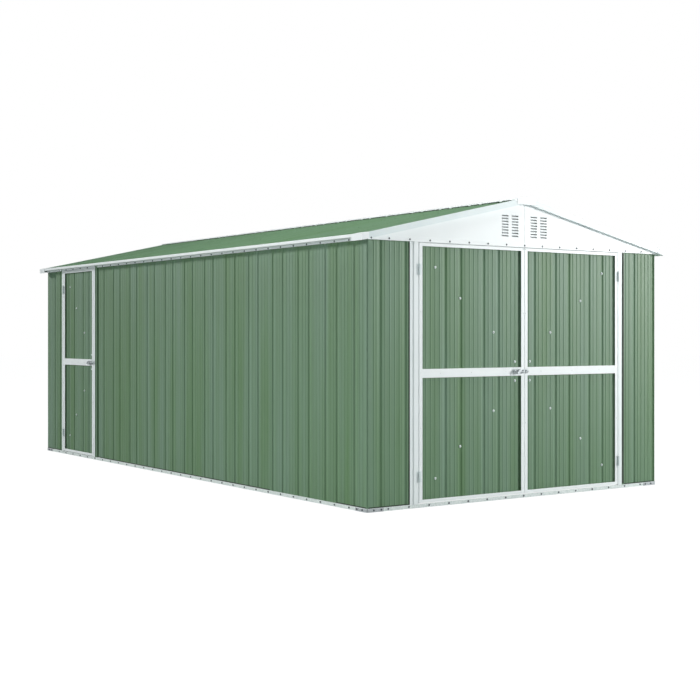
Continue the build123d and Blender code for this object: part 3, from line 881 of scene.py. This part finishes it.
slot_columns = (-0.201, -0.098, 0.098, 0.201)
slot_half = 0.0335
first_slot = wall_top + 0.082
slot_pitch = 0.022
blade_steel = 0.0008
brow_steel = 0.0007
for wall in ("front", "back"):
    turned = across_frame(wall)
    bm = bmesh.new()
    for column in slot_columns:
        for row in range(8):
            level = first_slot + row * slot_pitch
            low, high = column - slot_half, column + slot_half
            blade = [
                (level - 0.0052, -0.0078), (level - 0.0036, -0.0050), (level + 0.0052, 0.0080),
            ]
            thick_ribbon(bm, turned, blade, blade_steel, low, high)
            brow = [
                (level + 0.0078, -gable_face - 0.0001), (level + 0.0066, -gable_face - 0.0018),
                (level + 0.0050, -gable_face - 0.0028), (level + 0.0036, -gable_face - 0.0030),
            ]
            thick_ribbon(bm, turned, brow, -brow_steel, low, high)
    make_piece(f"{wall}_louvres", bm, "shell", [white_paint])

# %% [markdown]
# Along its lower edge the gable carries a flat strip that takes a row of screws, and the
# right half laps over the left half at the middle. Both show as fine lines only.

# %% Gable strip and lap
lap_face = -gable_face - 0.0010
strip_end = half_width - 0.0005
for wall in ("front", "back"):
    turned = across_frame(wall)
    bm = bmesh.new()
    strip = [
        (wall_top + 0.0002, -gable_face - 0.0001), (wall_top + 0.0004, lap_face - 0.0002),
        (wall_top + 0.0340, lap_face - 0.0002), (wall_top + 0.0352, -gable_face - 0.0001),
    ]
    thick_ribbon(bm, turned, strip, sheet_steel, -strip_end, strip_end)
    lap = [
        (0.0, -gable_face - 0.0001), (0.0006, lap_face),
        (0.0210, lap_face), (0.0216, -gable_face - 0.0001),
    ]
    thick_ribbon(bm, frames[wall], lap, sheet_steel, wall_top + 0.0354, roof_apex - 0.048)
    make_piece(f"{wall}_gable_strip", bm, "shell", [white_paint])

# %% [markdown]
# ## Stops and seals
# A small angle closes the head of each doorway behind the leaves, and soft white seals
# narrow the gaps that the leaves need to swing. The seals ride on the leaves or sit in the
# gap above them, so nothing rubs when a door opens.

# %% Stops behind the leaf heads
# Lines (up, inwards). The metal lies above and behind them, so its thickness is negative.
seal_steel = 0.0008
stop = [
    (wall_top - 0.0004, 0.0), (wall_top - 0.0004, 0.0226),
    (wall_top - 0.0030, 0.0232), (wall_top - 0.022, 0.0232),
]
seal = [(wall_top - 0.0004, -0.0070), (wall_top - 0.0024, -0.0064), (wall_top - 0.0024, 0.0150)]
runs = (("front", -1.04, 1.04), ("left", -side_door_front + 0.003, -side_door_rear - 0.003))
bm = bmesh.new()
for wall, low, high in runs:
    for line in (stop, seal):
        thick_ribbon(bm, across_frame(wall), line, -seal_steel, low, high)
make_piece("door_stops", bm, "shell", [white_paint])

# %% Seals between the front leaves
for name, sign in (("left", -1), ("right", 1)):
    bm = bmesh.new()
    lip = [
        (sign * 0.0034, -0.0070), (sign * 0.0008, -0.0055),
        (sign * 0.0010, 0.0060), (sign * 0.0034, 0.0080),
    ]
    low, high = leaf_bottom + steel, leaf_top - steel
    thick_ribbon(bm, frames["front"], lip, seal_steel * sign, low, high)
    make_piece(f"front_{name}_seal", bm, f"front_{name}_leaf", [white_paint])

# %% [markdown]
# ## Foam closures and painted shade
# A rolled sheet leaves holes wherever a straight rail or the ridge cap crosses its grooves.
# Dark foam closes them, and its near-black colour is also painted shade: the fine dark line along
# the base rails is a painted shadow of the wall sheet on the rail, and the row of dark blocks
# along both edges of the ridge cap is painted shade under the cap's edges.

# %% Foam along the base rails and the ridge cap, dark as painted shade
front_end = half_width - 0.014
side_end = half_length - 0.014
front_post_end = 1.119
side_post_width = 0.080
shade_foam_runs = (
    ("front", -front_end, -front_post_end), ("front", front_post_end, front_end),
    ("back", -front_end, front_end),
    ("right", -side_end, side_end),
    ("left", side_door_front + side_post_width, side_end),
    ("left", -side_end, side_door_rear - side_post_width),
)
# Painted shadow: a dark line where the wall sheet meets the base rail.
base_shade_line = [(0.0284, 0.0004), (0.0350, 0.0006), (0.0362, 0.0016), (0.0362, 0.0022)]
bm = bmesh.new()
for wall, low, high in shade_foam_runs:
    thick_ribbon(bm, across_frame(wall), base_shade_line, sheet_steel, low, high)
cap_edge = 0.090 / math.cos(roof_angle)
# Painted shade: dark blocks in the grooves under the edges of the ridge cap.
shade_block_line = ((-0.044, rib_height), (-0.043, -0.0062), (0.043, -0.0062), (0.044, rib_height))
block_steel = 0.0012
last_block = 2.96
for side in ("roof_left", "roof_right"):
    for count in range(-9, 9):
        for place in (0.0745, 0.2070, 0.3170):
            middle = groove_starts[side] + count * period + place
            if abs(middle) < last_block:
                block = [(middle + along, inwards) for along, inwards in shade_block_line]
                low, high = cap_edge - 0.004, cap_edge + 0.011
                thick_ribbon(bm, frames[side], block, block_steel, low, high)
make_piece("foam_and_shade_closures", bm, "shell", [painted_shade_foam])

# %% [markdown]
# A dark strip of painted shade stands beside each front post, where the post shades the wall
# sheet. The one on the right lies on the post's flat lip, and the one on the left closes the
# corner between the lip and the wall sheet.

# %% Painted shade beside the front posts: start, width, depth of foot and of face
shade_strips = (
    (front_opening_half + post_face + 0.0004, 0.0290, -0.0021, -0.0030),
    (-front_opening_half - 0.0814, 0.0060, 0.0040, 0.0006),
)
shade_strip_bottom = 0.0365
round_off = 0.0008
bm = bmesh.new()
# Each dark bead is painted shade beside a front post.
for low, width, foot, face in shade_strips:
    high = low + width
    shade_bead = [(low, foot), (low + round_off, face), (high - round_off, face), (high, foot)]
    thick_ribbon(bm, frames["front"], shade_bead, sheet_steel, shade_strip_bottom, wall_top - 0.001)
make_piece("post_shade_strips", bm, "shell", [painted_shade_foam])

# %% Sizes and finish
boxes = {
    "cad": [[float(value) for value in corner] for corner in cad_box],
    "visual": [[float(value) for value in corner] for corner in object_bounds()],
}
